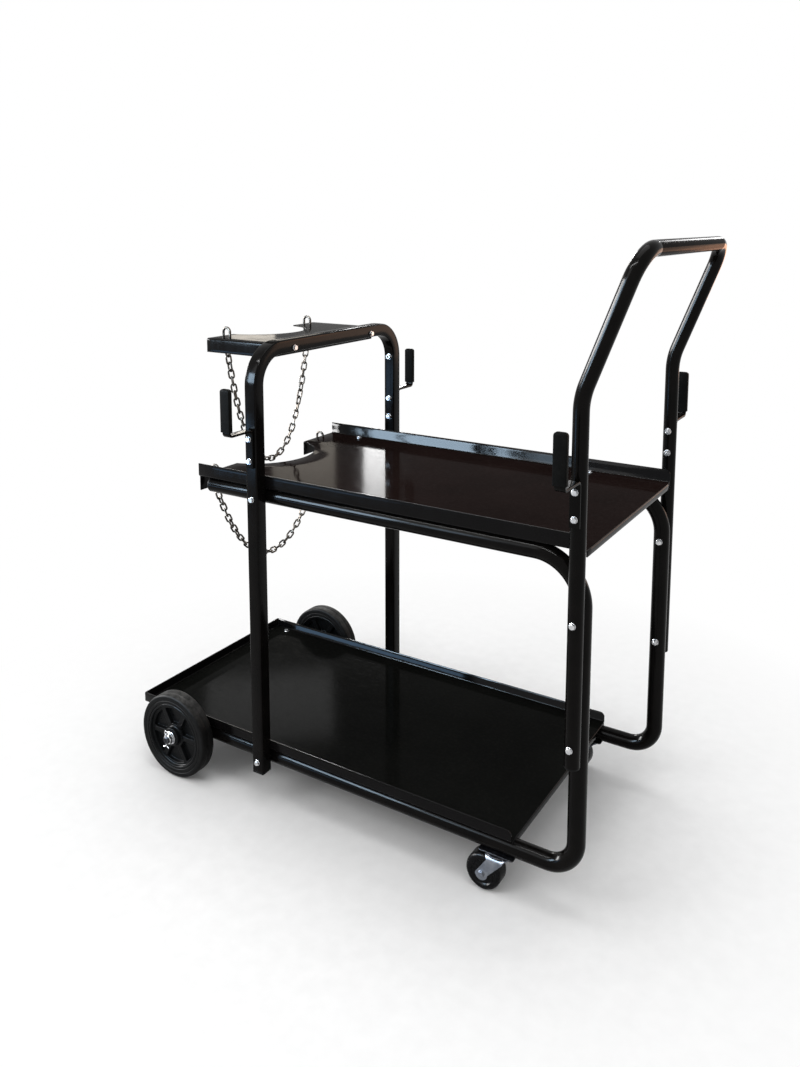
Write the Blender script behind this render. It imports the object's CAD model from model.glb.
import math

import bmesh
import bpy
from mathutils import Matrix, Vector


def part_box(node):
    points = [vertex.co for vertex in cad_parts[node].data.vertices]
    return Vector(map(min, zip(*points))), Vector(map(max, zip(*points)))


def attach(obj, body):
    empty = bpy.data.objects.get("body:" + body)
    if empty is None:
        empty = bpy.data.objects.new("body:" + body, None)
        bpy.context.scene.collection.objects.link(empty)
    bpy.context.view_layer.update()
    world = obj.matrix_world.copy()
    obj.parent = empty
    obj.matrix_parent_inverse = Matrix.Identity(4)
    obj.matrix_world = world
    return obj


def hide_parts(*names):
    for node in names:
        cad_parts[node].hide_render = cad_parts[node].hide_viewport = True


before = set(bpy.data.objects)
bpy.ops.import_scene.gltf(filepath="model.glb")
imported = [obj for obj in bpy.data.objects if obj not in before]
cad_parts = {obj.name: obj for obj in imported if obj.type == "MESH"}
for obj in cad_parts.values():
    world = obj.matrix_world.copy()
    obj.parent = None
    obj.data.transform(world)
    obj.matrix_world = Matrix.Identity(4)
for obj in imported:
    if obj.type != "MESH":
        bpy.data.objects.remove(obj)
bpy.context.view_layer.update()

# Sizes in millimetres, as in the solids: X from the rear posts, Y from the middle, Z from the floor.
MM = 0.001
TAU = 2 * math.pi
SIDES = (("left", -1), ("right", 1))
low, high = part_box("rear_frame")
ORIGIN = Vector(((low.x + high.x) / 2, 0.0, 0.0))

FIT = 0.3
SHEET = 2.0
TUBE_R = 14.0
OUTER_Y = 206.5
SIDE_Y = OUTER_Y - TUBE_R
LEG_X = 588.5
CASTER_TOP = 68.5
LOWER_RUN_Z = CASTER_TOP + FIT + TUBE_R
UPPER_RUN_Z = LOWER_RUN_Z + 487.0
LOWER_RUN_END = -300.0
UPPER_RUN_END = -125.0
UPPER_BEND_R = 75.0
LOWER_BEND_R = 46.0

POST_W = 24.0
POST_CORNER_R = 2.6
POST_BEND_R = 62.0
POST_Y = OUTER_Y + FIT + POST_W / 2
POST_END_Z = LOWER_RUN_Z - 18.0
CROSS_Z = UPPER_RUN_Z + 258.5

HANDLE_W = 24.0
HANDLE_R = 11.75
HANDLE_BEND_R = 110.0
HANDLE_CORNER_R = 45.0
HANDLE_Y = OUTER_Y + FIT + HANDLE_W / 2
HANDLE_END_Z = UPPER_RUN_Z - 303.0
HANDLE_BEND_Z = UPPER_RUN_Z + 238.0
HANDLE_TOP_Z = UPPER_RUN_Z + 441.0
HANDLE_TOP_X = LEG_X + (HANDLE_TOP_Z - HANDLE_BEND_Z) * math.tan(math.radians(21.2))
HANDLE_BOLTS = (HANDLE_END_Z + 29.0, HANDLE_END_Z + 216.0)

UPPER_TRAY_Z = UPPER_RUN_Z + TUBE_R + FIT
LOWER_TRAY_Z = LOWER_RUN_Z + TUBE_R + FIT
BOTTLE_X = -174.0
TRAY_NOTCH_R = 107.0
BRACKET_NOTCH_R = 92.0
BRACKET_SHEET = 2.5
BRACKET_TOP_Z = CROSS_Z + POST_W / 2 - 6.5
BRACKET_BACK = -POST_W / 2 - FIT
BRACKET_BOLT_Y = 122.0
BRACKET_BOLT_Z = CROSS_Z - 4.5

HOOK_Z = UPPER_RUN_Z + 123.0
HOOK_REACH = 58.0
HOOK_STRAP = 66.0
HOOK_BOLTS = (HOOK_Z - HOOK_STRAP + 12.0, HOOK_Z - HOOK_STRAP + 51.0)
GRIP_W = 20.0
GRIP_T = 8.5
GRIP_H = 73.0

AXLE_X = -196.0
AXLE_Z = LOWER_RUN_Z - 3.0
WHEEL_IN_Y = OUTER_Y + 12.0
WHEEL_OUT_Y = WHEEL_IN_Y + 30.0
HUB_OUT = 3.0

CASTER_X = LEG_X - 126.5
CASTER_TRAIL = 22.0
CASTER_R = 30.0
CASTER_W = 30.0
PLATE_Z = CASTER_TOP - 2.0
RACE_Z = PLATE_Z - 3.0
FORK_T = 2.0
FORK_HEAD_R = 22.0
FORK_FOOT_R = 10.5
FORK_Z = RACE_Z - FIT - FORK_T / 2
FORK_Y = CASTER_W / 2 + 1.4 + FORK_T / 2

CHAIN_X = -149.0
RING_END = 17.0
RING_HALF_W = 8.0
RING_WIRE_R = 2.45
BRACKET_RING_Z = BRACKET_TOP_Z - BRACKET_SHEET / 2
TRAY_RING_Z = UPPER_TRAY_Z + SHEET / 2 - 7.0
BRACKET_RING_Y = 122.0
TRAY_RING_Y = OUTER_Y - 44.5
CHAIN_DROP = RING_END + 5.36
UPPER_SAG = 237.0
LOWER_SAG = 175.0
LINK_PITCH = 14.6
LINK_HALF_W = 4.7
LINK_WIRE_R = 1.75


# Materials

class Nodes:
    """A node material around one Principled shader, with object coordinates in metres."""

    def __init__(self, name, **fixed):
        self.material = bpy.data.materials.new(name)
        self.material.use_nodes = True
        self.tree = self.material.node_tree
        self.shader = self.tree.nodes["Principled BSDF"]
        self.coord = self.node("ShaderNodeTexCoord").outputs["Object"]
        for socket, value in fixed.items():
            self.shader.inputs[socket.replace("_", " ")].default_value = value

    def node(self, kind, **options):
        made = self.tree.nodes.new(kind)
        for key, value in options.items():
            setattr(made, key, value)
        return made

    def link(self, output, target):
        self.tree.links.new(output, target)

    def noise(self, scale, detail=3.0, rough=0.55, stretch=None):
        made = self.node("ShaderNodeTexNoise")
        made.inputs["Scale"].default_value = scale
        made.inputs["Detail"].default_value = detail
        made.inputs["Roughness"].default_value = rough
        source = self.coord
        if stretch:
            mapping = self.node("ShaderNodeMapping")
            mapping.inputs["Scale"].default_value = stretch
            self.link(self.coord, mapping.inputs["Vector"])
            source = mapping.outputs["Vector"]
        self.link(source, made.inputs["Vector"])
        return made.outputs["Fac"]

    def ramp(self, value, stops):
        made = self.node("ShaderNodeValToRGB")
        elements = made.color_ramp.elements
        while len(elements) < len(stops):
            elements.new(0.5)
        for element, (place, colour) in zip(elements, stops):
            element.position = place
            element.color = (*colour, 1.0)
        self.link(value, made.inputs["Fac"])
        return made.outputs["Color"]

    def span(self, value, low, high, start=0.3, end=0.7):
        made = self.node("ShaderNodeMapRange")
        for socket, number in (("From Min", start), ("From Max", end), ("To Min", low), ("To Max", high)):
            made.inputs[socket].default_value = number
        self.link(value, made.inputs["Value"])
        return made.outputs["Result"]

    def mix(self, fac, first, second):
        made = self.node("ShaderNodeMix", data_type="RGBA")
        self.link(fac, made.inputs["Factor"])
        self.link(first, made.inputs[6])
        made.inputs[7].default_value = (*second, 1.0)
        return made.outputs[2]

    def math(self, kind, first, second):
        made = self.node("ShaderNodeMath", operation=kind)
        self.link(first, made.inputs[0])
        self.link(second, made.inputs[1])
        return made.outputs["Value"]

    def bump(self, height, distance, strength=1.0, under=None):
        made = self.node("ShaderNodeBump")
        made.inputs["Strength"].default_value = strength
        made.inputs["Distance"].default_value = distance
        self.link(height, made.inputs["Height"])
        if under:
            self.link(under, made.inputs["Normal"])
        return made.outputs["Normal"]

    def upward(self, start=0.55, end=0.95):
        """One on faces that look up, where dust settles."""
        split = self.node("ShaderNodeSeparateXYZ")
        self.link(self.node("ShaderNodeNewGeometry").outputs["Normal"], split.inputs["Vector"])
        return self.span(split.outputs["Z"], 0.0, 1.0, start, end)

    def leaned(self, rise):
        """The normal of the face, leaned upwards."""
        add = self.node("ShaderNodeVectorMath", operation="ADD")
        self.link(self.node("ShaderNodeNewGeometry").outputs["Normal"], add.inputs[0])
        add.inputs[1].default_value = (0.0, 0.0, rise)
        unit = self.node("ShaderNodeVectorMath", operation="NORMALIZE")
        self.link(add.outputs["Vector"], unit.inputs[0])
        return unit.outputs["Vector"]

    def dusty(self, colour, scale, most, tone=(0.17, 0.16, 0.15)):
        """Fine specks of dust on the faces that look up."""
        specks = self.span(self.noise(scale, 6.0), 0.0, most, 0.45, 0.75)
        return self.mix(self.math("MULTIPLY", self.upward(), specks), colour, tone)

    def finish(self, colour, rough, normal):
        self.link(colour, self.shader.inputs["Base Color"])
        self.link(rough, self.shader.inputs["Roughness"])
        self.link(normal, self.shader.inputs["Normal"])
        return self.material


def tube_paint():
    n = Nodes("frame_paint", Specular_IOR_Level=0.05)
    colour = n.ramp(n.noise(26.0, 4.0), [(0.3, (0.0022, 0.002, 0.0019)), (0.7, (0.0044, 0.0038, 0.0035))])
    colour = n.dusty(colour, 140.0, 0.03)
    rough = n.span(n.noise(60.0, 5.0), 0.1, 0.17)
    peel = n.bump(n.noise(520.0, 2.0), 0.00005, 0.25)
    return n.finish(colour, rough, n.bump(n.noise(45.0, 2.0), 0.0006, 0.12, peel))


def bar_paint():
    """Paint of the grip bar, dulled and a little browned by hands."""
    n = Nodes("grip_bar_paint", Specular_IOR_Level=0.002)
    worn = n.noise(60.0, 6.0, 0.6, (1.0, 0.3, 1.0))
    colour = n.ramp(worn, [(0.35, (0.0026, 0.0022, 0.002)), (0.75, (0.0085, 0.0052, 0.0038))])
    rough = n.span(n.noise(110.0, 5.0), 0.1, 0.18)
    return n.finish(colour, rough, n.bump(n.noise(520.0, 2.0), 0.00008, 0.25))


def sheet_paint():
    n = Nodes("sheet_paint", Specular_IOR_Level=0.06)
    colour = n.ramp(n.noise(9.0, 5.0), [(0.3, (0.0024, 0.0022, 0.0023)), (0.7, (0.0048, 0.0044, 0.0046))])
    rough = n.span(n.noise(34.0, 6.0, 0.7, (1.0, 1.0, 0.12)), 0.12, 0.24, 0.35, 0.7)
    peel = n.bump(n.noise(480.0, 2.0), 0.0001, 0.3)
    return n.finish(colour, rough, n.bump(n.noise(16.0, 2.0, 0.4), 0.003, 0.15, peel))


def inner_paint(name, shine, lean):
    """Inner face of a flange, shaded as if it leaned outwards a little."""
    n = Nodes(name, Specular_IOR_Level=shine)
    colour = n.ramp(n.noise(9.0, 5.0), [(0.3, (0.0026, 0.0026, 0.003)), (0.7, (0.005, 0.005, 0.0058))])
    rough = n.span(n.noise(40.0, 6.0, 0.7, (1.0, 1.0, 0.2)), 0.04, 0.11, 0.35, 0.7)
    peel = n.bump(n.noise(480.0, 2.0), 0.0001, 0.3, n.leaned(lean))
    return n.finish(colour, rough, n.bump(n.noise(11.0, 2.0, 0.4), 0.004, 0.2, peel))


def floor_paint(name, dark, light, shine):
    n = Nodes(name, Specular_IOR_Level=shine)
    colour = n.dusty(n.ramp(n.noise(6.0, 5.0), [(0.3, dark), (0.7, light)]), 190.0, 0.02)
    scuff = n.noise(55.0, 6.0, 0.7, (1.0, 7.0, 1.0))
    rough = n.span(scuff, 0.06, 0.2, 0.45, 0.8)
    peel = n.bump(n.noise(480.0, 2.0), 0.00006, 0.25)
    return n.finish(colour, rough, n.bump(n.noise(5.5, 1.5, 0.4), 0.004, 0.06, peel))


def bracket_paint():
    n = Nodes("bracket_top_paint", Specular_IOR_Level=0.0007)
    colour = n.ramp(n.noise(14.0, 5.0), [(0.3, (0.003, 0.0027, 0.0024)), (0.7, (0.0065, 0.0055, 0.0048))])
    rough = n.span(n.noise(26.0, 6.0, 0.7), 0.05, 0.16, 0.4, 0.75)
    return n.finish(colour, rough, n.bump(n.noise(480.0, 2.0), 0.00004, 0.2))


def zinc():
    n = Nodes("zinc_hardware", Metallic=1.0)
    colour = n.ramp(n.noise(160.0, 5.0), [(0.3, (0.36, 0.37, 0.39)), (0.7, (0.62, 0.62, 0.62))])
    grain = n.noise(900.0, 4.0, 0.6, (1.0, 1.0, 0.25))
    rough = n.span(grain, 0.16, 0.3)
    return n.finish(colour, rough, n.bump(grain, 0.00008, 0.35))


def fork_zinc():
    n = Nodes("caster_zinc", Metallic=1.0)
    colour = n.ramp(n.noise(75.0, 5.0), [(0.3, (0.12, 0.132, 0.156)), (0.7, (0.25, 0.262, 0.285))])
    grain = n.noise(700.0, 5.0, 0.65, (0.4, 1.0, 1.0))
    rough = n.span(n.noise(190.0, 5.0), 0.3, 0.46)
    return n.finish(colour, rough, n.bump(grain, 0.0001, 0.35))


def dark_steel():
    """Oiled steel of the caster plates and the axle's ends."""
    n = Nodes("dark_steel", Metallic=1.0)
    colour = n.ramp(n.noise(120.0, 5.0), [(0.35, (0.014, 0.014, 0.016)), (0.75, (0.06, 0.06, 0.064))])
    grain = n.noise(800.0, 4.0, 0.6, (1.0, 1.0, 0.3))
    return n.finish(colour, n.span(grain, 0.3, 0.5), n.bump(grain, 0.00008, 0.35))


def chain_steel():
    n = Nodes("chain_steel", Metallic=0.92)
    colour = n.ramp(n.noise(170.0, 6.0, 0.65), [
        (0.3, (0.012, 0.01, 0.008)), (0.5, (0.05, 0.043, 0.036)), (0.72, (0.24, 0.215, 0.185))])
    rough = n.span(n.noise(420.0, 4.0), 0.25, 0.45)
    return n.finish(colour, rough, n.bump(n.noise(1500.0, 3.0), 0.0001, 0.5))


def moulded(name, tone, rough_low, rough_high, grain, spec):
    n = Nodes(name, Specular_IOR_Level=spec)
    dim = tuple(0.7 * c for c in tone)
    lit = tuple(1.4 * c for c in tone)
    colour = n.dusty(n.ramp(n.noise(70.0, 5.0), [(0.3, dim), (0.7, lit)]), 260.0, 0.05)
    rough = n.span(n.noise(210.0, 5.0), rough_low, rough_high)
    cells = n.node("ShaderNodeTexVoronoi")
    cells.inputs["Scale"].default_value = grain
    n.link(n.coord, cells.inputs["Vector"])
    fine = n.bump(cells.outputs["Distance"], 0.00016, 0.35)
    return n.finish(colour, rough, n.bump(n.noise(120.0, 3.0), 0.0004, 0.15, fine))


def tyre_rubber():
    n = Nodes("tyre_rubber", Specular_IOR_Level=0.05)
    colour = n.ramp(n.noise(60.0, 5.0), [(0.3, (0.0035, 0.0035, 0.0035)), (0.7, (0.007, 0.0069, 0.0068))])
    patches = n.span(n.noise(85.0, 7.0, 0.7), 0.1, 0.75, 0.35, 0.7)
    colour = n.mix(n.math("MULTIPLY", n.upward(0.45, 0.95), patches), colour, (0.085, 0.083, 0.08))
    rough = n.span(n.noise(130.0, 5.0), 0.4, 0.6)
    fine = n.bump(n.noise(900.0, 4.0), 0.00018, 0.5)
    return n.finish(colour, rough, n.bump(n.noise(150.0, 3.0), 0.0005, 0.2, fine))


TUBE_PAINT = tube_paint()
BAR_PAINT = bar_paint()
SHEET_PAINT = sheet_paint()
UPPER_INNER_PAINT = inner_paint("upper_flange_paint", 0.07, 0.25)
LOWER_INNER_PAINT = inner_paint("lower_flange_paint", 0.12, 0.35)
UPPER_FLOOR_PAINT = floor_paint("upper_floor_paint", (0.006, 0.0034, 0.003), (0.0105, 0.006, 0.0054), 0.0008)
LOWER_FLOOR_PAINT = floor_paint("lower_floor_paint", (0.003, 0.0032, 0.0029), (0.006, 0.0063, 0.0057), 0.004)
BRACKET_PAINT = bracket_paint()
ZINC = zinc()
FORK_ZINC = fork_zinc()
DARK_STEEL = dark_steel()
CHAIN_STEEL = chain_steel()
GRIP_RUBBER = moulded("grip_rubber", (0.0045, 0.0045, 0.0042), 0.42, 0.6, 1300.0, 0.014)
TYRE_RUBBER = tyre_rubber()
RIM_PLASTIC = moulded("wheel_plastic", (0.0035, 0.0038, 0.0042), 0.26, 0.4, 1100.0, 0.06)
CASTER_RUBBER = moulded("caster_rubber", (0.0035, 0.0036, 0.004), 0.2, 0.34, 900.0, 0.07)
PLUG_PLASTIC = moulded("plug_plastic", (0.0055, 0.0055, 0.0055), 0.4, 0.55, 1200.0, 0.06)


# Mesh helpers

class Shape:
    """Points and faces gathered in millimetres."""

    def __init__(self):
        self.points = []
        self.faces = []

    def add(self, made, at=Matrix()):
        points, faces = made
        base = len(self.points)
        self.points += [at @ Vector(p) for p in points]
        self.faces += [[base + i for i in face] for face in faces]
        return self


def level(face):
    return abs(face.normal.z) > 0.95


def sideways(face):
    return abs(face.normal.y) > 0.95


def make(name, shape, material, body="frame", nodes=(), extra=(), bevel=None, thick=None):
    """Turns a shape into a piece that rides on a body. Each extra is a material and the faces that have it."""
    mesh = bpy.data.meshes.new(name)
    bm = bmesh.new()
    verts = [bm.verts.new(ORIGIN + Vector(p) * MM) for p in shape.points]
    for face in shape.faces:
        corners = list(dict.fromkeys(face))
        if len(corners) > 2:
            bm.faces.new([verts[i] for i in corners])
    bmesh.ops.remove_doubles(bm, verts=bm.verts, dist=4e-6)
    bmesh.ops.recalc_face_normals(bm, faces=bm.faces)
    if thick and sum(face.normal.z * face.calc_area() for face in bm.faces) < 0:
        bmesh.ops.reverse_faces(bm, faces=bm.faces)
    sharp = math.radians(32)
    for face in bm.faces:
        face.smooth = True
        for index, (_, chosen) in enumerate(extra, 1):
            if chosen(face):
                face.material_index = index
    for edge in bm.edges:
        if len(edge.link_faces) == 2:
            edge.smooth = edge.calc_face_angle(0.0) < sharp
    bm.to_mesh(mesh)
    bm.free()
    for paint in [material] + [paint for paint, _ in extra]:
        mesh.materials.append(paint)
    piece = bpy.data.objects.new(name, mesh)
    bpy.context.scene.collection.objects.link(piece)
    if thick:
        shell = piece.modifiers.new("thickness", "SOLIDIFY")
        shell.thickness = thick * MM
        shell.offset = 0.0
        shell.use_even_offset = True
        shell.material_offset = -len(extra)
        shell.material_offset_rim = -len(extra)
    if bevel:
        edges = piece.modifiers.new("edges", "BEVEL")
        edges.width = bevel * MM
        edges.segments = 2
        edges.limit_method = "ANGLE"
        edges.angle_limit = math.radians(40)
        edges.harden_normals = False
    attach(piece, body)
    if nodes:
        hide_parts(*nodes)
    return piece


def arc(count):
    """Angles of a quarter turn in equal steps, both ends included."""
    return [TAU / 4 * k / count for k in range(count + 1)]


def lathe(profile, steps=48):
    """A surface of revolution about Z from (radius, height) pairs."""
    points, faces, rows = [], [], []
    for r, h in profile:
        start = len(points)
        if r < 1e-6:
            points.append((0.0, 0.0, h))
            rows.append([start] * steps)
        else:
            points += [(r * math.cos(TAU * k / steps), r * math.sin(TAU * k / steps), h) for k in range(steps)]
            rows.append(list(range(start, start + steps)))
    for a, b in zip(rows, rows[1:]):
        faces += [[a[k], a[(k + 1) % steps], b[(k + 1) % steps], b[k]] for k in range(steps)]
    return points, faces


def loft(rings):
    """Quads between closed rings of equal length, with a cap at both ends."""
    count = len(rings[0])
    points = [p for ring in rings for p in ring]
    faces = []
    for i in range(len(rings) - 1):
        a, b = i * count, (i + 1) * count
        faces += [[a + k, a + (k + 1) % count, b + (k + 1) % count, b + k] for k in range(count)]
    faces += [list(range(count)), list(range(len(points) - count, len(points)))]
    return points, faces


def hexagon(corner_r, height, bore=0.0, both=False, steps=48):
    """A hexagon head or nut on Z with chamfered corners."""
    flat = corner_r * math.cos(math.radians(30))
    edge = [(0.0, flat * 0.94), (0.09, flat * 1.05), (0.2, corner_r)] if both else [(0.0, corner_r)]
    rows = edge + [(0.8, corner_r), (0.91, flat * 1.05), (1.0, flat * 0.94), (1.0, flat * 0.86)]
    rings = []
    for share, limit in rows:
        ring = []
        for k in range(steps):
            turn = TAU * k / steps
            r = min(flat / math.cos((turn % (TAU / 6)) - TAU / 12), limit)
            ring.append((r * math.cos(turn), r * math.sin(turn), share * height))
        rings.append(ring)
    if bore:
        for h in (height, height * 0.25):
            rings.append([(bore * math.cos(TAU * k / steps), bore * math.sin(TAU * k / steps), h) for k in range(steps)])
    return loft(rings)


def bent(corners, radii, steps):
    """Points and directions along straight runs with a bend at each inner corner."""
    corners = [Vector(c) for c in corners]
    ways = [(b - a).normalized() for a, b in zip(corners, corners[1:])]
    rings = [(corners[0], ways[0])]
    for i, (radius, count) in enumerate(zip(radii, steps)):
        before, after = ways[i], ways[i + 1]
        angle = before.angle(after)
        axis = before.cross(after).normalized()
        inward = axis.cross(before)
        start = corners[i + 1] - before * (radius * math.tan(angle / 2))
        centre = start + inward * radius
        for k in range(count + 1):
            turn = Matrix.Rotation(angle * k / count, 3, axis)
            rings.append((centre + turn @ (inward * -radius), turn @ before))
    rings.append((corners[-1], ways[-1]))
    return rings


def sweep(rings, section, side, closed=False):
    """A section carried along rings without twist. Its first axis starts along side."""
    points, faces = [], []
    count = len(section)
    normal = Vector(side)
    previous = rings[0][1]
    for place, way in rings:
        normal = (previous.rotation_difference(way) @ normal).normalized()
        second = way.cross(normal)
        points += [place + normal * u + second * w for u, w in section]
        previous = way
    spans = len(rings) if closed else len(rings) - 1
    for i in range(spans):
        a, b = i * count, ((i + 1) % len(rings)) * count
        faces += [[a + k, a + (k + 1) % count, b + (k + 1) % count, b + k] for k in range(count)]
    if not closed:
        faces.append(list(range(count)))
        faces.append(list(range(len(points) - count, len(points))))
    return points, faces


def disc(r, steps):
    return [(r * math.cos(TAU * k / steps), r * math.sin(TAU * k / steps)) for k in range(steps)]


def rounded(w, h, r, steps=4):
    spots = []
    for corner, (sx, sy) in enumerate(((1, 1), (-1, 1), (-1, -1), (1, -1))):
        for a in arc(steps):
            turn = corner * TAU / 4 + a
            spots.append((sx * (w / 2 - r) + r * math.cos(turn), sy * (h / 2 - r) + r * math.sin(turn)))
    return spots


def prism(outline, z0, z1):
    """A straight solid between two heights over an outline in XY."""
    return loft([[(x, y, z) for x, y in outline] for z in (z0, z1)])


def wire_loop(half_len, half_wide, wire_r, steps=8, sides=10):
    """A closed wire: two straight sides along X and two round ends, in the XY plane."""
    straight = half_len - half_wide
    rings = []
    for end, start in ((1, -TAU / 4), (-1, TAU / 4)):
        for k in range(steps + 1):
            turn = start + TAU / 2 * k / steps
            place = Vector((end * straight + half_wide * math.cos(turn), half_wide * math.sin(turn), 0.0))
            rings.append((place, Vector((-math.sin(turn), math.cos(turn), 0.0))))
    return sweep(rings, disc(wire_r, sides), (0.0, 0.0, 1.0), closed=True)


def along(axis, place):
    """Puts Z of a small part along an axis name such as +y, at a place."""
    turns = {"+z": Matrix(), "-z": Matrix.Rotation(math.pi, 4, "X"),
             "+y": Matrix.Rotation(-math.pi / 2, 4, "X"), "-y": Matrix.Rotation(math.pi / 2, 4, "X"),
             "+x": Matrix.Rotation(math.pi / 2, 4, "Y"), "-x": Matrix.Rotation(-math.pi / 2, 4, "Y")}
    return Matrix.Translation(Vector(place)) @ turns[axis]


def lift(height):
    return Matrix.Translation((0.0, 0.0, height))


def grid(rows, keep=lambda j: True):
    """Quads between rows of points. Columns may be left out."""
    width = len(rows[0])
    points = [p for row in rows for p in row]
    faces = []
    for i in range(len(rows) - 1):
        for j in range(width - 1):
            if keep(j):
                a = i * width + j
                faces.append([a, a + 1, a + width + 1, a + width])
    return points, faces


# Small fasteners

def washer(r_in, r_out, t):
    e = 0.25
    rim = [(r_out - e, 0), (r_out, e), (r_out, t - e), (r_out - e, t)]
    return lathe([(r_in, 0)] + rim + [(r_in, t), (r_in, 0)], 32)


def thread(r, length, pitch=1.0):
    profile = [(0.0, 0.0), (r * 0.86, 0.0)]
    for i in range(int(length / pitch)):
        profile += [(r * 0.86, i * pitch + 0.1), (r, i * pitch + 0.5)]
    profile += [(r * 0.86, length - 0.5), (r * 0.6, length), (0.0, length)]
    return lathe(profile, 24)


def bolt(shape, axis, head, nut, u, w, twist=0.0):
    """Head with washer on one face, washer, nut and thread end on the other."""
    out, back = ("+", "-") if head > nut else ("-", "+")
    turn = Matrix.Rotation(twist, 4, "Z")
    spots = [(u, p, w) if axis == "y" else (p, u, w) for p in (head, nut)]
    face = along(out + axis, spots[0])
    shape.add(washer(2.7, 5.2, 0.9), face)
    shape.add(hexagon(4.7, 3.4), face @ lift(0.9) @ turn)
    rear = along(back + axis, spots[1])
    shape.add(washer(2.7, 5.8, 0.9), rear)
    shape.add(hexagon(5.2, 4.4, 2.6, both=True), rear @ lift(0.9) @ turn)
    shape.add(thread(2.6, 6.8), rear)


# Bent tubes and their end plugs

def build_tubes():
    for side, s in SIDES:
        y = s * SIDE_Y
        path = bent([(UPPER_RUN_END, y, UPPER_RUN_Z), (LEG_X, y, UPPER_RUN_Z), (LEG_X, y, LOWER_RUN_Z),
                     (LOWER_RUN_END, y, LOWER_RUN_Z)], [UPPER_BEND_R, LOWER_BEND_R], [20, 18])
        make(f"side_tube_{side}", Shape().add(sweep(path, disc(TUBE_R, 44), (0, 1, 0))), TUBE_PAINT,
             nodes=[f"side_frame_{side}"])
    path = bent([(0, -POST_Y, POST_END_Z), (0, -POST_Y, CROSS_Z), (0, POST_Y, CROSS_Z), (0, POST_Y, POST_END_Z)],
                [POST_BEND_R, POST_BEND_R], [20, 20])
    make("rear_tube", Shape().add(sweep(path, rounded(POST_W, POST_W, POST_CORNER_R), (1, 0, 0))), TUBE_PAINT,
         nodes=["rear_frame"], extra=((BRACKET_PAINT, level),))
    path = bent([(LEG_X, -HANDLE_Y, HANDLE_END_Z), (LEG_X, -HANDLE_Y, HANDLE_BEND_Z),
                 (HANDLE_TOP_X, -HANDLE_Y, HANDLE_TOP_Z), (HANDLE_TOP_X, HANDLE_Y, HANDLE_TOP_Z),
                 (LEG_X, HANDLE_Y, HANDLE_BEND_Z), (LEG_X, HANDLE_Y, HANDLE_END_Z)],
                [HANDLE_BEND_R, HANDLE_CORNER_R, HANDLE_CORNER_R, HANDLE_BEND_R], [12, 18, 18, 12])
    bar_y = (HANDLE_Y - HANDLE_CORNER_R) * MM
    make("handle_tube", Shape().add(sweep(path, disc(HANDLE_R, 44), (0, 1, 0))), TUBE_PAINT,
         nodes=["push_handle"], extra=((BAR_PAINT, lambda face: abs(face.calc_center_median().y) < bar_y),))


def build_plugs():
    def cap(r):
        edge = [(r - 1.6 + 1.6 * math.cos(a), 1.7 + 1.6 * math.sin(a)) for a in arc(4)]
        inside = [(0, -3), (r - 1.8, -3), (r - 1.8, 0.2), (r, 0.2)]
        return lathe(inside + edge + [(r * 0.55, 3.25), (r * 0.5, 3.0), (0, 3.0)])

    for side, s in SIDES:
        spots = (("upper_run_plug", TUBE_R, "-x", (UPPER_RUN_END, s * SIDE_Y, UPPER_RUN_Z)),
                 ("lower_run_plug", TUBE_R, "-x", (LOWER_RUN_END, s * SIDE_Y, LOWER_RUN_Z)),
                 ("handle_plug", HANDLE_R, "-z", (LEG_X, s * HANDLE_Y, HANDLE_END_Z)))
        for name, r, axis, place in spots:
            make(f"{name}_cap_{side}", Shape().add(cap(r), along(axis, place)), PLUG_PLASTIC,
                 nodes=[f"{name}_{side}"])
        square = Shape()
        at = along("-z", (0, s * POST_Y, POST_END_Z))
        square.add(prism(rounded(POST_W - 3.6, POST_W - 3.6, 1.5), -6, 0.4), at)
        square.add(prism(rounded(POST_W, POST_W, 2.4), FIT, FIT + 3), at)
        square.add(prism(rounded(POST_W - 8, POST_W - 8, 2), FIT + 2, FIT + 3), at)
        make(f"post_plug_cap_{side}", square, PLUG_PLASTIC, nodes=[f"post_plug_{side}"], bevel=0.5)


# Folded sheet

SIDE_FOLD = 3.0
END_FOLD = 2.2


def cross_line(half, height, floor_ys):
    """Y, height and share of the side wall for each column across a folded sheet; height may point down."""
    way = 1 if height > 0 else -1
    fold = [(half - SIDE_FOLD + SIDE_FOLD * math.sin(a), way * SIDE_FOLD * (1 - math.cos(a)), 0.0) for a in arc(6)]
    right = fold + [(half, way * SIDE_FOLD, t / 3) for t in (1, 2, 3)]
    left = [(-y, z, t) for y, z, t in reversed(right)]
    return left + [(y, 0.0, 0.0) for y in floor_ys] + right


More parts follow.
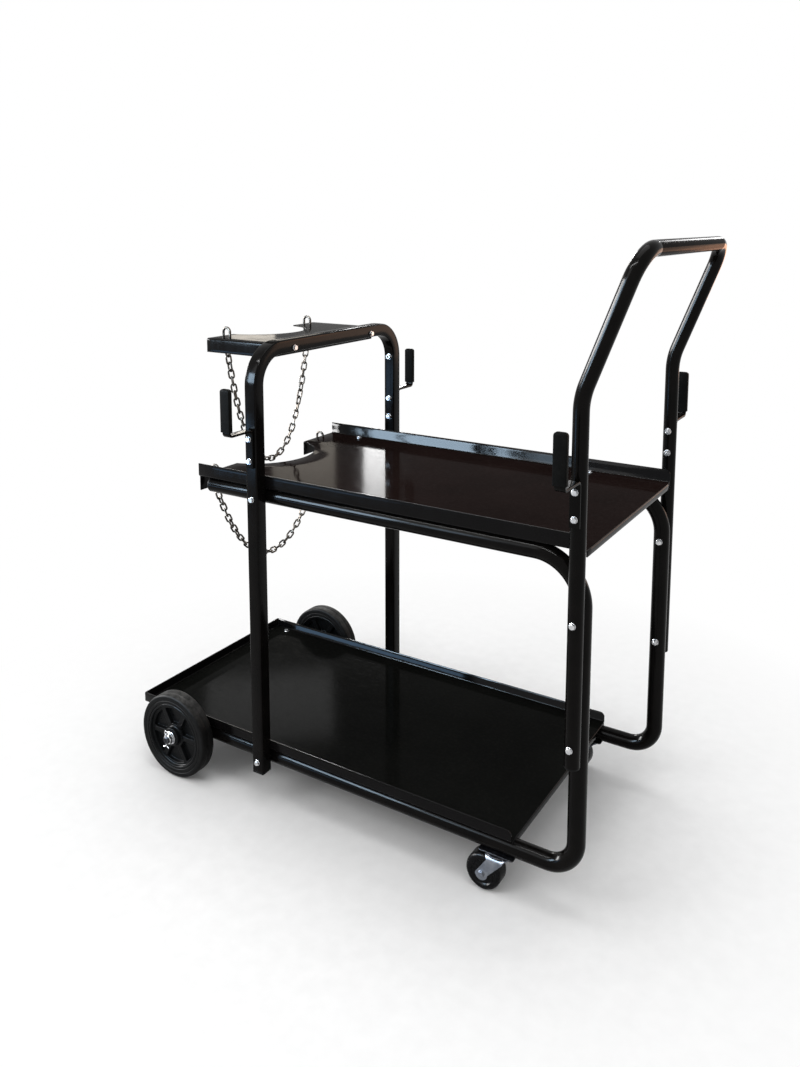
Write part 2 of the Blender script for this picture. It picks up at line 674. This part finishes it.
def folded_sheet(x_rear, x_front, half, z, height, notch_r=None, rear=0.0, front=0.0, slots=(), corner=0.0):
    """A floor with folded sides, and folds across its rear and front ends. All on the middle of the sheet."""
    inner = half - SIDE_FOLD
    mouth = math.sqrt(notch_r ** 2 - (x_rear - BOTTLE_X) ** 2) if notch_r else 0.0
    ys = [inner * k / 8 for k in range(-7, 8)]
    if notch_r:
        span = math.asin(mouth / notch_r)
        ys = [notch_r * math.sin(span * k / 22) for k in range(-22, 23)]
        ys += [s * (mouth + (inner - mouth) * k / 5) for k in range(1, 5) for s in (-1, 1)]
    ys += [s * y + e for y in slots for s in (-1, 1) for e in (-12.0, 12.0)]
    ys = sorted(set(round(y, 4) for y in ys))
    columns = cross_line(half, height, ys)

    def start(y):
        if notch_r and abs(y) < mouth - 1e-4:
            return BOTTLE_X + math.sqrt(notch_r ** 2 - y * y)
        return x_rear

    length = x_front - x_rear
    shares = [k / 14 * (length - corner) / length for k in range(15)]
    if corner:
        shares += [1 - corner / length * (1 - math.sin(a)) for a in arc(6)[1:]]
    rows = []
    for share in shares:
        row = []
        for y, rise, t in columns:
            x = start(y) + share * (x_front - start(y))
            if t > 0:
                over = max(x - (x_front - corner), 0.0)
                top = abs(height) - corner + math.sqrt(max(corner ** 2 - over ** 2, 0.0))
                rise = math.copysign(SIDE_FOLD + (top - SIDE_FOLD) * t, height)
            row.append((x, y, z + rise))
        rows.append(row)
    shape = Shape().add(grid(rows))

    def flap(x, way, drop, shown):
        """A strip folded off an end of the floor, up or down."""
        up = math.copysign(1.0, drop)
        line = [(x + way * END_FOLD * (math.sin(a) - 1), up * END_FOLD * (1 - math.cos(a))) for a in arc(5)]
        line += [(x, up * END_FOLD + t * (drop - up * END_FOLD)) for t in (0.5, 1.0)]
        spots = [-inner] + ys + [inner]
        rows = [[(px, y, z + pz) for y in spots] for px, pz in line]
        shape.add(grid(rows, lambda j: shown((spots[j] + spots[j + 1]) / 2)))

    def closed_corner(s):
        """The rounded corner where a rear wall meets a side."""
        rows = []
        heights = [(1 - math.cos(a), math.sin(a)) for a in arc(5)] + [(None, 1.0)]
        for down, out in heights:
            row = []
            for a in arc(5):
                fold = END_FOLD + (SIDE_FOLD - END_FOLD) * math.sin(a)
                level = rear if down is None else fold * down
                row.append((x_rear + END_FOLD * (1 - math.cos(a) * out), s * (inner + SIDE_FOLD * math.sin(a) * out), z + level))
            rows.append(row)
        shape.add(grid(rows))

    if rear:
        flap(x_rear, -1, rear, lambda y: abs(y) > mouth and all(abs(abs(y) - c) > 12 for c in slots))
    if rear > 0:
        closed_corner(-1)
        closed_corner(1)
    if front:
        flap(x_front, 1, front, lambda y: True)
    return shape


def build_sheets():
    half = OUTER_Y - SHEET / 2
    upper = folded_sheet(-148, 596, half, UPPER_TRAY_Z + SHEET / 2, 23.5, notch_r=TRAY_NOTCH_R, rear=-28, front=-9,
                         slots=(TRAY_RING_Y,), corner=8)
    make("upper_sheet", upper, SHEET_PAINT, nodes=["upper_tray"], bevel=0.5, thick=SHEET,
         extra=((UPPER_FLOOR_PAINT, level), (UPPER_INNER_PAINT, sideways)))
    lower = folded_sheet(-313, 489, half, LOWER_TRAY_Z + SHEET / 2, 18.5, rear=18.5, front=-9, corner=8)
    make("lower_sheet", lower, SHEET_PAINT, nodes=["lower_tray"], bevel=0.5, thick=SHEET,
         extra=((LOWER_FLOOR_PAINT, level), (LOWER_INNER_PAINT, sideways)))
    plate = folded_sheet(-161.5, BRACKET_BACK - BRACKET_SHEET / 2, 160.75, BRACKET_TOP_Z - BRACKET_SHEET / 2, -24.75,
                         notch_r=BRACKET_NOTCH_R, front=-24.75)
    make("bracket_sheet", plate, SHEET_PAINT, nodes=["bottle_bracket"], bevel=0.5, thick=BRACKET_SHEET,
         extra=((BRACKET_PAINT, level),))


# Hooks, grips and bolts

def grip(x, y):
    """A moulded sleeve of oblong section with a blunt end."""
    base = HOOK_Z + 7.3
    ends = [(0.0, 0.5), (0.5, 0.0), (20.0, 0.0), (45.0, 0.0)]
    rings = []
    for dz, inset in ends:
        rings.append((dz, GRIP_W - 2 * inset, GRIP_T - 2 * inset))
    for a in arc(6):
        inset = 1 - math.cos(a)
        rings.append((GRIP_H - 5.0 + 5.0 * math.sin(a), GRIP_W - 10.0 * inset, GRIP_T - 4.0 * inset))
    return Shape().add(loft([[(x + u, y + v, base + dz) for u, v in rounded(w, t, 1.3)] for dz, w, t in rings]))


def build_hooks():
    mounts = (("post", 0.0, POST_Y + POST_W / 2 + FIT, POST_W), ("handle", LEG_X, HANDLE_Y + HANDLE_W / 2 + FIT, HANDLE_W))
    for side, s in SIDES:
        for kind, x, y, depth in mounts:
            path = bent([(x, s * (y + 2), HOOK_Z - HOOK_STRAP), (x, s * (y + 2), HOOK_Z), (x, s * (y + HOOK_REACH), HOOK_Z),
                         (x, s * (y + HOOK_REACH), HOOK_Z + 72)], [6, 6], [8, 8])
            bar = Shape().add(sweep(path, rounded(16, 4, 0.9, 3), (1, 0, 0)))
            make(f"{kind}_hook_bar_{side}", bar, TUBE_PAINT, nodes=[f"{kind}_hook_{side}"])
            bolts = Shape()
            for i, z in enumerate(HOOK_BOLTS):
                bolt(bolts, "y", s * (y + 4), s * (y - depth - 2 * FIT), x, z, twist=0.35 + 0.4 * i)
            make(f"{kind}_hook_bolts_{side}", bolts, ZINC)
            make(f"{kind}_hook_sleeve_{side}", grip(x, s * (y + HOOK_REACH)), GRIP_RUBBER,
                 nodes=[f"{kind}_hook_grip_{side}"])


def build_bolts():
    for side, s in SIDES:
        nut = s * (SIDE_Y - TUBE_R - FIT)
        post = s * (POST_Y + POST_W / 2 + FIT)
        leg = s * (HANDLE_Y + HANDLE_W / 2 + FIT)
        spots = (("post_bolt_upper", post, 0.0, UPPER_RUN_Z, 0.2), ("post_bolt_lower", post, 0.0, LOWER_RUN_Z, 0.7),
                 ("handle_bolt_upper", leg, LEG_X, HANDLE_BOLTS[1], 0.45),
                 ("handle_bolt_lower", leg, LEG_X, HANDLE_BOLTS[0], 0.9))
        for name, head, x, z, twist in spots:
            shape = Shape()
            bolt(shape, "y", head, nut, x, z, twist=twist)
            make(f"{name}_set_{side}", shape, ZINC, nodes=[f"{name}_{side}"])
        shape = Shape()
        bolt(shape, "x", POST_W / 2 + FIT, BRACKET_BACK - BRACKET_SHEET - FIT, s * BRACKET_BOLT_Y, BRACKET_BOLT_Z, 0.3)
        make(f"bracket_bolt_set_{side}", shape, ZINC, nodes=[f"bracket_bolt_{side}"])
        screws = Shape()
        inner = along("-y" if s > 0 else "+y", (0.0, s * (POST_Y - POST_W / 2), 766.0))
        screws.add(washer(2.9, 6.2, 0.9), inner).add(hexagon(5.5, 4.0, 2.7), inner @ lift(0.9))
        for x, z in ((-67.0, UPPER_TRAY_Z), (451.0, UPPER_TRAY_Z), (-277.0, LOWER_TRAY_Z)):
            top = along("+z", (x, s * SIDE_Y, z + SHEET))
            screws.add(washer(2.9, 6.0, 0.9), top).add(hexagon(5.2, 3.2), top @ lift(0.9))
        make(f"tray_screws_{side}", screws, ZINC)


# Rear wheels

def rim_face(out):
    """One face of the rim as rings from the hub to the lip, with six pockets between broad spokes."""
    web, floor = 9.0, 2.2
    hub = [(7.3, 18.0, 0), (15.6, 18.0, 0), (17.2, 17.2, 0), (18.0, web + 1.2, 0), (19.2, web, 0), (22.5, web, 0)]
    pocket = [(23.6, web, 1), (30.0, web, 1), (38.0, web, 1), (46.0, web, 1), (52.2, web, 1)]
    lip = [(53.3, web, 0), (56.4, web, 0), (57.4, web + 1.0, 0), (58.0, 13.6, 0), (59.0, 14.8, 0), (61.8, 14.8, 0),
           (62.8, 13.8, 0)]
    edges = [0.0, 4.5, 5.6, 7.6]
    half = TAU / 12
    points, rows = [], []
    for r, h, hollow in hub + pocket + lip:
        near = [math.asin(min(e / max(r, 12.0), 0.45)) for e in edges]
        inside = [near[3] + (half - near[3]) * t / 3 for t in (1, 2, 3)]
        one = [(a, 0) for a in near[:2]] + [(a, 1) for a in near[2:] + inside]
        both = one + [(2 * half - a, d) for a, d in reversed(one[1:-1])]
        row = []
        for k in range(6):
            for a, deep in both:
                turn = TAU / 6 * k + a
                row.append(len(points))
                points.append((r * math.cos(turn), r * math.sin(turn), out * (floor if hollow and deep else h)))
        rows.append(row)
    faces = []
    count = len(rows[0])
    for a, b in zip(rows, rows[1:]):
        faces += [[a[k], a[(k + 1) % count], b[(k + 1) % count], b[k]] for k in range(count)]
    return points, faces


def build_wheels():
    mid = (WHEEL_IN_Y + WHEEL_OUT_Y) / 2
    side_wall = [(62.9, 12.5), (63.2, 14.4), (64.0, 15.0), (68.6, 15.0), (69.1, 14.5), (70.6, 14.5), (71.1, 15.0)]
    shoulder = [(AXLE_Z - 4.5 + 4.5 * math.sin(a), 10.5 + 4.5 * math.cos(a)) for a in arc(7)]
    one = side_wall + shoulder + [(AXLE_Z, 6.0), (AXLE_Z, 1.0), (AXLE_Z - 0.2, 0.6)]
    profile = one + [(r, -h) for r, h in reversed(one)] + [one[0]]
    for side, s in SIDES:
        out = "+y" if s > 0 else "-y"
        at = along(out, (AXLE_X, s * mid, AXLE_Z))
        make(f"tyre_{side}", Shape().add(lathe(profile, 96), at), TYRE_RUBBER, f"wheel_{side}",
             [f"wheel_tyre_{side}"])
        rim = Shape().add(rim_face(1), at).add(rim_face(-1), at)
        rim.add(lathe([(62.8, 13.8), (62.8, -13.8)], 72), at).add(lathe([(7.3, 18.0), (7.3, -18.0)], 72), at)
        make(f"rim_{side}", rim, RIM_PLASTIC, f"wheel_{side}", [f"wheel_rim_{side}"], bevel=0.5)
        sleeve = lathe([(7.3, 0), (10.6, 0), (11.2, 0.6), (11.2, 7.9), (10.6, 8.4), (7.3, 8.4), (7.3, 0)])
        spacer = Shape().add(sleeve, along(out, (AXLE_X, s * (OUTER_Y + FIT), AXLE_Z)))
        make(f"axle_sleeve_{side}", spacer, ZINC, nodes=[f"axle_spacer_{side}"])
        face = along(out, (AXLE_X, s * (WHEEL_OUT_Y + HUB_OUT + FIT), AXLE_Z))
        nut = Shape().add(washer(7.2, 12.0, 2.0), face)
        nut.add(hexagon(10.0, 8.0, 7.1, both=True), face @ lift(2.0) @ Matrix.Rotation(0.3, 4, "Z"))
        make(f"axle_nut_set_{side}", nut, ZINC, nodes=[f"axle_nut_{side}"])
    half = WHEEL_OUT_Y + HUB_OUT + FIT + 13.5
    ends = [(0, -half), (5.6, -half), (7.0, 1.4 - half), (7.0, half - 1.4), (5.6, half), (0, half)]
    rod = Shape().add(lathe(ends, 40), along("+y", (AXLE_X, 0, AXLE_Z)))
    make("axle_rod", rod, DARK_STEEL, nodes=["rear_axle"])
    pins = Shape()
    for side, s in SIDES:
        y = s * (half - 2.1)
        for x0, x1, tip in ((-2.0, -1.0, -7.0), (0.4, 0.6, 6.0)):
            path = bent([(AXLE_X + x0, y, AXLE_Z + 12.5), (AXLE_X + x1, y, AXLE_Z - 12), (AXLE_X + tip, y, AXLE_Z - 14)],
                        [2.5], [5])
            pins.add(sweep(path, disc(0.9, 10), (0, 1, 0)))
        eye = along("-y", (AXLE_X - 0.8, y, AXLE_Z + 15.0))
        pins.add(wire_loop(3.4, 2.6, 0.9), eye @ Matrix.Rotation(math.pi / 2, 4, "Z"))
    make("split_pins", pins, ZINC)


# Casters

def caster_fork():
    """Stamped fork: a round head whose two cheeks run down to the axle, on the middle of the sheet."""
    fold = 5.0
    shoulder = FORK_Z - fold
    heights = [CASTER_R - FORK_FOOT_R * math.cos(a) for a in arc(8)[:-1]]
    heights += [CASTER_R + (shoulder - CASTER_R) * k / 6 for k in range(6)]
    half = [(FORK_Y, h) for h in heights]
    half += [(FORK_Y - fold + fold * math.cos(a), shoulder + fold * math.sin(a)) for a in arc(6)]
    half += [((FORK_Y - fold) * (1 - t / 3), FORK_Z) for t in (1, 2, 3)]
    line = half + [(-y, z) for y, z in reversed(half[:-1])]
    rows = []
    for y, z in line:
        if z < CASTER_R:
            reach = math.sqrt(max(FORK_FOOT_R ** 2 - (z - CASTER_R) ** 2, 0.04))
            x0, x1 = -CASTER_TRAIL - reach, -CASTER_TRAIL + reach
        else:
            t = min((z - CASTER_R) / (shoulder - CASTER_R), 1.0)
            wide = math.sqrt(FORK_HEAD_R ** 2 - y ** 2)
            x0 = -CASTER_TRAIL - FORK_FOOT_R + t * (CASTER_TRAIL + FORK_FOOT_R - wide)
            x1 = -CASTER_TRAIL + FORK_FOOT_R + t * (CASTER_TRAIL - FORK_FOOT_R + wide)
        rows.append([(x0 + (x1 - x0) * k / 8, y, z) for k in range(9)])
    return grid(rows)


def build_casters():
    half = CASTER_W / 2
    tread = [(CASTER_R - 6 + 6 * math.sin(a), half - 6 + 6 * math.cos(a)) for a in arc(8)]
    hub = [(3.4, half), (8.5, half), (9.1, half - 0.6), (9.3, half - 2.0), (18.6, half - 2.0), (19.6, half - 1.1), (20.5, half)]
    one = hub + tread
    profile = one + [(r, -h) for r, h in reversed(one)] + [one[0]]
    for side, s in SIDES:
        base = Matrix.Translation((CASTER_X, s * SIDE_Y, 0.0))
        plate = Shape().add(prism(rounded(60, 30, 4, 5), PLATE_Z, CASTER_TOP), base)
        race = [(18.6 + 1.4 * math.sin(2 * a), PLATE_Z - 1.5 - 1.5 * math.cos(2 * a)) for a in arc(10)]
        plate.add(lathe([(9.0, RACE_Z)] + race + [(9.0, PLATE_Z)]), base)
        for x in (-25.0, 25.0):
            plate.add(lathe([(3.8, 0.0), (3.4, 1.2), (2.0, 2.0), (0.0, 2.2)], 24), base @ along("-z", (x, 0.0, PLATE_Z)))
        make(f"caster_top_{side}", plate, DARK_STEEL, nodes=[f"caster_plate_{side}"], bevel=0.4)
        make(f"caster_cheeks_{side}", Shape().add(caster_fork(), base), FORK_ZINC, f"caster_{side}",
             [f"caster_fork_{side}"], bevel=0.5, thick=FORK_T)
        pin = Shape()
        for way, axis in ((1, "+y"), (-1, "-y")):
            face = base @ along(axis, (-CASTER_TRAIL, way * (FORK_Y + FORK_T / 2 + 0.2), CASTER_R))
            pin.add(washer(3.0, 5.6, 0.8), face)
            pin.add(hexagon(5.0, 2.4), face @ lift(0.7))
        shank = lathe([(0, -18), (2.9, -18), (2.9, 18), (0, 18)], 20)
        pin.add(shank, base @ along("+y", (-CASTER_TRAIL, 0, CASTER_R)))
        make(f"caster_pin_{side}", pin, FORK_ZINC, f"caster_{side}", [f"caster_axle_{side}"])
        wheel = Shape().add(lathe(profile, 64), base @ along("+y", (-CASTER_TRAIL, 0, CASTER_R)))
        make(f"caster_tread_{side}", wheel, CASTER_RUBBER, f"caster_roller_{side}",
             [f"caster_wheel_{side}"])


# Chains and their rings

def chain(half_span, sag, z):
    """Welded links along a catenary, each turned by a quarter against the last, with a small ring at both ends."""
    tight, slack = 1.0, 100 * half_span
    for _ in range(80):
        a = (tight + slack) / 2
        if a * (math.cosh(half_span / a) - 1) > sag:
            tight = a
        else:
            slack = a
    reach = a * math.sinh(half_span / a)
    count = int(reach / LINK_PITCH) * 2 + 1
    step = 2 * reach / count
    shape = Shape()
    link = wire_loop(step / 2 + LINK_WIRE_R, LINK_HALF_W, LINK_WIRE_R)
    for i in range(count):
        s = -reach + (i + 0.5) * step
        y = a * math.asinh(s / a)
        drop = a * (math.cosh(y / a) - 1) - sag
        twist = (i % 2) * math.pi / 2 + 0.22 * math.sin(2.4 * i) + 0.9 * math.sin(0.21 * i)
        at = Matrix.Translation((CHAIN_X, y, z + drop)) @ Matrix.Rotation(math.atan2(s, a), 4, "X")
        shape.add(link, at @ Matrix.Rotation(math.pi / 2, 4, "Z") @ Matrix.Rotation(twist, 4, "X"))
    ring = wire_loop(5.4, 5.399, 1.6)
    for s in (-1, 1):
        shape.add(ring, Matrix.Translation((CHAIN_X, s * half_span, z + 4.2)) @ Matrix.Rotation(math.pi / 2, 4, "Y"))
    return shape


def build_chains():
    for name, y, z in (("bracket_ring", BRACKET_RING_Y, BRACKET_RING_Z), ("tray_ring", TRAY_RING_Y, TRAY_RING_Z)):
        for side, s in SIDES:
            stand = along("-y", (CHAIN_X, s * y, z)) @ Matrix.Rotation(math.pi / 2, 4, "Z")
            wire = Shape().add(wire_loop(RING_END, RING_HALF_W, RING_WIRE_R, 12, 16), stand)
            make(f"{name}_wire_{side}", wire, CHAIN_STEEL, nodes=[f"{name}_{side}"])
    upper = chain(BRACKET_RING_Y, UPPER_SAG, BRACKET_RING_Z - CHAIN_DROP)
    make("chain_links_upper", upper, CHAIN_STEEL, "chain_upper", ["chain_upper"])
    lower = chain(TRAY_RING_Y, LOWER_SAG, TRAY_RING_Z - CHAIN_DROP)
    make("chain_links_lower", lower, CHAIN_STEEL, "chain_lower", ["chain_lower"])


# Camera, floor and light

def build_camera():
    data = bpy.data.cameras.new("camera")
    data.lens = 31.281
    data.sensor_width = 36.0
    data.shift_y = -0.1752
    camera = bpy.data.objects.new("camera", data)
    camera.location = (0.8596, -1.4075, 1.0465)
    camera.rotation_euler = (math.radians(90 - 7.69), 0.0, math.radians(32.16))
    bpy.context.scene.collection.objects.link(camera)
    bpy.context.scene.camera = camera


def seen_rays(tree):
    """One for rays from the camera and for rays that a shiny or clear surface sends on."""
    rays = tree.nodes.new("ShaderNodeLightPath")
    seen = rays.outputs["Is Camera Ray"]
    for ray in ("Is Glossy Ray", "Is Transmission Ray"):
        most = tree.nodes.new("ShaderNodeMath")
        most.operation = "MAXIMUM"
        tree.links.new(seen, most.inputs[0])
        tree.links.new(rays.outputs[ray], most.inputs[1])
        seen = most.outputs["Value"]
    return seen


def build_floor():
    n = Nodes("floor", Specular_IOR_Level=0.0)
    grain = n.noise(35.0, 5.0)
    n.finish(n.ramp(grain, [(0.3, (0.88, 0.88, 0.88)), (0.7, (0.92, 0.92, 0.92))]), n.span(grain, 0.75, 0.9),
             n.bump(n.noise(300.0, 3.0), 0.0002, 0.2))
    away = n.node("ShaderNodeVectorMath", operation="LENGTH")
    n.link(n.coord, away.inputs[0])
    far = n.span(away.outputs["Value"], 0.0, 1.0, 0.45, 1.05)
    glow = n.node("ShaderNodeEmission")
    blend = n.node("ShaderNodeMixShader")
    n.link(n.math("MULTIPLY", far, seen_rays(n.tree)), blend.inputs["Fac"])
    n.link(n.shader.outputs["BSDF"], blend.inputs[1])
    n.link(glow.outputs["Emission"], blend.inputs[2])
    n.link(blend.outputs["Shader"], n.tree.nodes["Material Output"].inputs["Surface"])
    mesh = bpy.data.meshes.new("floor")
    reach, under = 14.0, -0.0005
    corners = [(-reach, -reach, under), (reach, -reach, under), (reach, reach, under), (-reach, reach, under)]
    mesh.from_pydata(corners, [], [(0, 1, 2, 3)])
    mesh.materials.append(n.material)
    floor = bpy.data.objects.new("floor", mesh)
    bpy.context.scene.collection.objects.link(floor)


def add_lamp(name, place, aim, wide, tall, power, colour):
    lamp = bpy.data.lights.new(name, "AREA")
    lamp.shape = "RECTANGLE"
    lamp.size = wide
    lamp.size_y = tall
    lamp.energy = power
    lamp.color = colour
    holder = bpy.data.objects.new(name, lamp)
    holder.location = place
    holder.rotation_euler = (Vector(aim) - Vector(place)).to_track_quat("-Z", "Y").to_euler()
    holder.visible_camera = False
    bpy.context.scene.collection.objects.link(holder)
    return holder


def build_light():
    """Soft lamps, and panels that show only in gloss, as windows do, and add nothing to a colour."""
    world = bpy.data.worlds.new("studio")
    bpy.context.scene.world = world
    world.use_nodes = True
    tree = world.node_tree
    plain = tree.nodes["Background"]
    plain.inputs["Color"].default_value = (1.0, 1.0, 1.0, 1.0)
    plain.inputs["Strength"].default_value = 0.7
    backdrop = tree.nodes.new("ShaderNodeBackground")
    backdrop.inputs["Color"].default_value = (1.0, 1.0, 1.0, 1.0)
    pick = tree.nodes.new("ShaderNodeMixShader")
    tree.links.new(seen_rays(tree), pick.inputs["Fac"])
    tree.links.new(plain.outputs["Background"], pick.inputs[1])
    tree.links.new(backdrop.outputs["Background"], pick.inputs[2])
    tree.links.new(pick.outputs["Shader"], tree.nodes["World Output"].inputs["Surface"])

    white, cool, cream = (1.0, 1.0, 1.0), (0.6, 0.8, 1.0), (1.0, 0.92, 0.8)
    navy, warm, amber = (0.33, 0.62, 1.0), (1.0, 0.6, 0.4), (1.0, 0.43, 0.2)
    lamps = (("top", (0.2, -0.1, 3.0), (0.0, 0.0, 0.4), 1.8, 1.8, 32.0, white),
             ("front", (-1.1, -2.2, 2.0), (0.0, 0.0, 0.5), 1.4, 1.4, 24.0, white))
    panels = (("left_panel", (-5.675, -1.7, 1.9), (0.4, -0.3, 1.8), 4.1, 1.0, 80.0, white),
              ("near_panel", (-0.953, -1.338, 1.05), (-0.143, 0.272, 0.65), 0.58, 0.5, 75.0, cool),
              ("side_panel", (-0.537, -1.547, 1.05), (0.273, 0.063, 0.65), 0.19, 0.5, 18.0, cool),
              ("low_panel", (-1.15, -1.41, 0.33), (-0.2, 0.2, 0.1), 0.75, 0.16, 9.5, navy),
              ("over_strip", (-0.3, -1.3, 2.4), (0.0, 0.0, 0.4), 2.2, 0.08, 90.0, white),
              ("bar_strip", (0.42, 1.7, 1.46), (0.485, 0.0, 1.0), 0.18, 0.3, 24.0, white),
              ("bar_panel", (0.515, 0.75, 0.9), (0.485, 0.0, 1.0), 0.3, 0.16, 4.0, amber),
              ("rear_strip", (-3.98, 5.86, 2.6), (-0.1, 0.0, 0.6), 0.24, 0.8, 100.0, white),
              ("rear_panel", (-4.55, 5.46, 2.55), (-0.2, 0.0, 0.6), 0.6, 0.7, 12.0, cream),
              ("floor_panel", (-4.85, 5.25, 3.95), (-0.25, -0.05, 0.1), 1.25, 0.6, 8.0, white),
              ("plate_panel", (-4.94, 5.2, 1.7), (-0.3, -0.1, 0.83), 0.42, 0.4, 8.0, cream),
              ("warm_panel", (1.3, 2.1, 0.72), (0.0, 0.0, 0.8), 1.0, 0.6, 3.2, warm))
    for name, place, aim, wide, tall, power, colour in lamps:
        add_lamp(name, place, aim, wide, tall, power, colour)
    for name, place, aim, wide, tall, shine, colour in panels:
        add_lamp(name, place, aim, wide, tall, shine * math.pi * wide * tall, colour).visible_diffuse = False
    bpy.context.scene.view_settings.view_transform = "Standard"


build_camera()
build_floor()
build_light()
build_tubes()
build_plugs()
build_sheets()
build_hooks()
build_bolts()
build_wheels()
build_casters()
build_chains()
